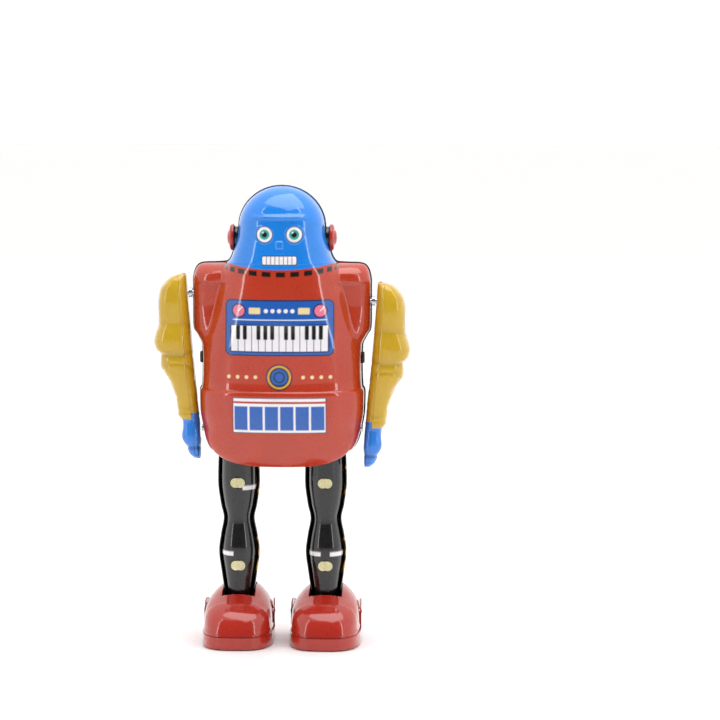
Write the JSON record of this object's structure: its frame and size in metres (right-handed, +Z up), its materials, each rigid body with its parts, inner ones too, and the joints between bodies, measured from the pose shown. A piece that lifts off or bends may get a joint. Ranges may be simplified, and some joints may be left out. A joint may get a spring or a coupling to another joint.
{
  "type": "tin wind-up robot",
  "caption": "Free-standing tin wind-up walking robot: pressed shells over a key-wound spring motor that swings jointed legs on ratchet rollers and links the arms to the legs.",
  "frame": {"origin": "on the floor under the middle of the standing robot: bottom centre of its bounding box", "axes": "+Z up, the robot faces -Y, +X is the robot's left"},
  "size_m": [0.0972, 0.052, 0.175],
  "materials": {
    "chest_lacquer": "glossy printed red lacquer, blue head",
    "back_lacquer": "glossy red and blue lacquer with a black border",
    "sleeve_lacquer": "glossy mustard yellow lacquer, blue hands",
    "black_lacquer": "glossy black lacquer",
    "shoe_lacquer": "glossy red lacquer",
    "ear_red": "glossy red lacquer",
    "tinplate": "bright tinplate",
    "brass_tinplate": "pale gold lacquered tinplate",
    "steel_wire": "drawn steel wire",
    "gear_brass": "stamped brass",
    "spring_steel": "blued spring steel",
    "key_plate": "nickel plated steel",
    "roller_metal": "dull cast zinc"
  },
  "bodies": {
    "torso": {"torso_front_shell": "chest_lacquer", "torso_back_shell": "back_lacquer", "ear_cap_left": "ear_red", "ear_cap_right": "ear_red", "ear_base_left": "black_lacquer", "ear_base_right": "black_lacquer", "chassis_front_plate": "tinplate", "chassis_back_plate": "tinplate", "chassis_side_plate_left": "tinplate", "chassis_side_plate_right": "tinplate", "frame_pillars": "steel_wire", "arm_bearing_bracket": "tinplate", "hip_axle": "steel_wire", "hip_spacers": "steel_wire", "click_spring": "spring_steel"},
    "winder": {"winding_key": "key_plate", "winding_arbor": "steel_wire", "ratchet_wheel": "tinplate"},
    "click": {"ratchet_click": "tinplate"},
    "barrel": {"spring_barrel": "gear_brass", "barrel_cover": "gear_brass", "mainspring": "spring_steel"},
    "intermediate": {"intermediate_arbor": "gear_brass", "contrate_wheel": "gear_brass", "governor_drive_wheel": "gear_brass"},
    "crankshaft": {"crankshaft": "steel_wire", "crank_pinion": "gear_brass", "crank_disc_left": "tinplate", "crank_disc_right": "tinplate"},
    "governor": {"escape_wheel": "gear_brass"},
    "anchor": {"escapement_anchor": "tinplate"},
    "left_leg": {"leg_strut_left": "brass_tinplate", "leg_front_shell_left": "black_lacquer", "leg_back_shell_left": "black_lacquer"},
    "left_foot": {"shoe_base_left": "shoe_lacquer", "shoe_upper_left": "shoe_lacquer", "sole_plate_left": "tinplate", "ankle_pin_left": "steel_wire", "roller_axle_left": "steel_wire", "roller_pawl_left": "spring_steel"},
    "left_roller": {"roller_left": "roller_metal"},
    "left_arm": {"arm_outer_shell_left": "sleeve_lacquer", "arm_inner_shell_left": "sleeve_lacquer", "arm_wire_left": "steel_wire", "arm_collar_left": "steel_wire"},
    "right_leg": {"leg_strut_right": "brass_tinplate", "leg_front_shell_right": "black_lacquer", "leg_back_shell_right": "black_lacquer"},
    "right_foot": {"shoe_base_right": "shoe_lacquer", "shoe_upper_right": "shoe_lacquer", "sole_plate_right": "tinplate", "ankle_pin_right": "steel_wire", "roller_axle_right": "steel_wire", "roller_pawl_right": "spring_steel"},
    "right_roller": {"roller_right": "roller_metal"},
    "right_arm": {"arm_outer_shell_right": "sleeve_lacquer", "arm_inner_shell_right": "sleeve_lacquer", "arm_wire_right": "steel_wire", "arm_collar_right": "steel_wire"}
  },
  "joints": [
    {"name": "key_turn", "type": "hinge", "parent": "torso", "child": "winder", "pos_m": [0, 0.018, 0.115], "axis": [0, 1, 0], "continuous": true},
    {"name": "click_lift", "type": "hinge", "parent": "torso", "child": "click", "pos_m": [-0.008, 0.0119, 0.1212], "axis": [0, -1, 0], "range_deg": [0, 15]},
    {"name": "barrel_turn", "type": "hinge", "parent": "torso", "child": "barrel", "pos_m": [0, 0.006, 0.115], "axis": [0, 1, 0], "continuous": true},
    {"name": "intermediate_turn", "type": "hinge", "parent": "torso", "child": "intermediate", "pos_m": [0, 0.006, 0.1], "axis": [0, 1, 0], "continuous": true},
    {"name": "crank_turn", "type": "hinge", "parent": "torso", "child": "crankshaft", "pos_m": [0, -0.002, 0.1], "axis": [1, 0, 0], "continuous": true},
    {"name": "governor_turn", "type": "hinge", "parent": "torso", "child": "governor", "pos_m": [0, 0.006, 0.0904], "axis": [0, 1, 0], "continuous": true},
    {"name": "anchor_rock", "type": "hinge", "parent": "torso", "child": "anchor", "pos_m": [0, 0.006, 0.0826], "axis": [0, 1, 0], "range_deg": [-4, 4]},
    {"name": "left_leg_swing", "type": "hinge", "parent": "torso", "child": "left_leg", "pos_m": [0.0167, -0.002, 0.082], "axis": [1, 0, 0], "range_deg": [-8, 8]},
    {"name": "right_leg_swing", "type": "hinge", "parent": "torso", "child": "right_leg", "pos_m": [-0.0167, -0.002, 0.082], "axis": [1, 0, 0], "range_deg": [-8, 8]},
    {"name": "left_arm_swing", "type": "hinge", "parent": "torso", "child": "left_arm", "pos_m": [0.035, -0.002, 0.131], "axis": [1, 0, 0], "range_deg": [-17, 17]},
    {"name": "right_arm_swing", "type": "hinge", "parent": "torso", "child": "right_arm", "pos_m": [-0.035, -0.002, 0.134], "axis": [1, 0, 0], "range_deg": [-14.5, 14.5]},
    {"name": "left_ankle", "type": "hinge", "parent": "left_leg", "child": "left_foot", "pos_m": [0.0167, -0.002, 0.011], "axis": [1, 0, 0], "range_deg": [-8.5, 8.5]},
    {"name": "left_roller_turn", "type": "hinge", "parent": "left_foot", "child": "left_roller", "pos_m": [0.0167, -0.016, 0.0036], "axis": [1, 0, 0], "continuous": true},
    {"name": "right_ankle", "type": "hinge", "parent": "right_leg", "child": "right_foot", "pos_m": [-0.0167, -0.002, 0.011], "axis": [1, 0, 0], "range_deg": [-8.5, 8.5]},
    {"name": "right_roller_turn", "type": "hinge", "parent": "right_foot", "child": "right_roller", "pos_m": [-0.0167, -0.016, 0.0036], "axis": [1, 0, 0], "continuous": true}
  ],
  "couplings": [
    {"joint": "intermediate_turn", "follows": "barrel_turn", "ratio": -4},
    {"joint": "crank_turn", "follows": "barrel_turn", "ratio": 12},
    {"joint": "governor_turn", "follows": "barrel_turn", "ratio": 20},
    {"joint": "right_leg_swing", "follows": "left_leg_swing", "ratio": -1},
    {"joint": "left_arm_swing", "follows": "left_leg_swing", "ratio": -2.0625},
    {"joint": "right_arm_swing", "follows": "left_leg_swing", "ratio": 1.7368},
    {"joint": "left_ankle", "follows": "left_leg_swing", "ratio": -1},
    {"joint": "right_ankle", "follows": "left_leg_swing", "ratio": 1}
  ]
}
